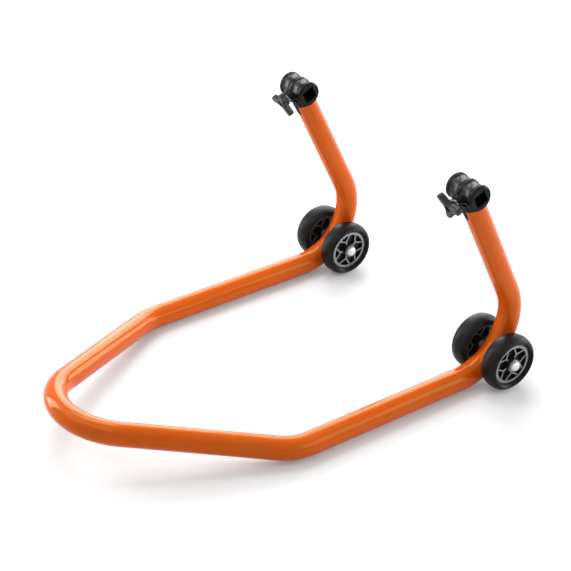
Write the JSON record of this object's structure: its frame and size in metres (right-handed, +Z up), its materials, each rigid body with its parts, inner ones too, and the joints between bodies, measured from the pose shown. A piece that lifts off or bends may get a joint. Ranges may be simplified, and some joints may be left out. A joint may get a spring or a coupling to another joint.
{
  "type": "paddock stand",
  "caption": "Bent-tube paddock stand: a U-shaped frame on wheel pairs at its bends, with a clamp head for a square lifting bar on top of each arm.",
  "frame": {"origin": "on the ground under the middle of the stand's bounding box", "axes": "+X from the handle end to the wheels, +Y to the left of a user who stands at the handle and faces the wheels, +Z up"},
  "size_m": [0.7676, 0.5786, 0.4057],
  "materials": {
    "frame_tube": "glossy powder coat",
    "axle_sleeve": "bare turned steel",
    "axle": "bright steel rod",
    "axle_washer": "zinc plated",
    "axle_cap": "polished",
    "tyre": "matt, moulded",
    "wheel_core": "grey faces on a black moulding",
    "wheel_bush": "plain nylon",
    "clamp_head": "satin, moulded",
    "thread_insert": "turned",
    "clamp_pad": "turned",
    "clamp_screw": "zinc plated",
    "clamp_knob": "satin, moulded"
  },
  "bodies": {
    "frame": {"frame_tube": "frame_tube", "axle_washers": "axle_washer", "axle_caps": "axle_cap", "axle_sleeve_right": "axle_sleeve", "axle_right": "axle", "clamp_head_right": "clamp_head", "thread_insert_right": "thread_insert", "axle_sleeve_left": "axle_sleeve", "axle_left": "axle", "clamp_head_left": "clamp_head", "thread_insert_left": "thread_insert"},
    "wheel_outer_right": {"tyre_outer_right": "tyre", "wheel_core_outer_right": "wheel_core", "wheel_bushes_outer_right": "wheel_bush"},
    "wheel_inner_right": {"tyre_inner_right": "tyre", "wheel_core_inner_right": "wheel_core", "wheel_bushes_inner_right": "wheel_bush"},
    "pad_right": {"clamp_pad_right": "clamp_pad"},
    "knob_right": {"clamp_knob_right": "clamp_knob", "clamp_screw_right": "clamp_screw"},
    "wheel_outer_left": {"tyre_outer_left": "tyre", "wheel_core_outer_left": "wheel_core", "wheel_bushes_outer_left": "wheel_bush"},
    "wheel_inner_left": {"tyre_inner_left": "tyre", "wheel_core_inner_left": "wheel_core", "wheel_bushes_inner_left": "wheel_bush"},
    "pad_left": {"clamp_pad_left": "clamp_pad"},
    "knob_left": {"clamp_knob_left": "clamp_knob", "clamp_screw_left": "clamp_screw"}
  },
  "joints": [
    {"name": "wheel_outer_right_spin", "type": "hinge", "parent": "frame", "child": "wheel_outer_right", "pos_m": [0.33336, -0.2655, 0.0505], "axis": [0, 1, 0], "continuous": true},
    {"name": "wheel_inner_right_spin", "type": "hinge", "parent": "frame", "child": "wheel_inner_right", "pos_m": [0.33336, -0.1885, 0.0505], "axis": [0, 1, 0], "continuous": true},
    {"name": "pad_slide_right", "type": "slide", "parent": "frame", "child": "pad_right", "axis": [0.9026, 0, 0.4305], "range_m": [-0.0015, 0.003]},
    {"name": "knob_turn_right", "type": "hinge", "parent": "pad_right", "child": "knob_right", "pos_m": [0.24994, -0.227, 0.38374], "axis": [0.9026, 0, 0.4305], "range_deg": [-360, 720]},
    {"name": "wheel_outer_left_spin", "type": "hinge", "parent": "frame", "child": "wheel_outer_left", "pos_m": [0.33336, 0.2655, 0.0505], "axis": [0, 1, 0], "continuous": true},
    {"name": "wheel_inner_left_spin", "type": "hinge", "parent": "frame", "child": "wheel_inner_left", "pos_m": [0.33336, 0.1885, 0.0505], "axis": [0, 1, 0], "continuous": true},
    {"name": "pad_slide_left", "type": "slide", "parent": "frame", "child": "pad_left", "axis": [0.9026, 0, 0.4305], "range_m": [-0.0015, 0.003]},
    {"name": "knob_turn_left", "type": "hinge", "parent": "pad_left", "child": "knob_left", "pos_m": [0.24994, 0.227, 0.38374], "axis": [0.9026, 0, 0.4305], "range_deg": [-360, 720]}
  ],
  "couplings": [
    {"joint": "knob_turn_right", "follows": "pad_slide_right", "rad_per_m": 4188.7},
    {"joint": "knob_turn_left", "follows": "pad_slide_left", "rad_per_m": 4188.7}
  ]
}
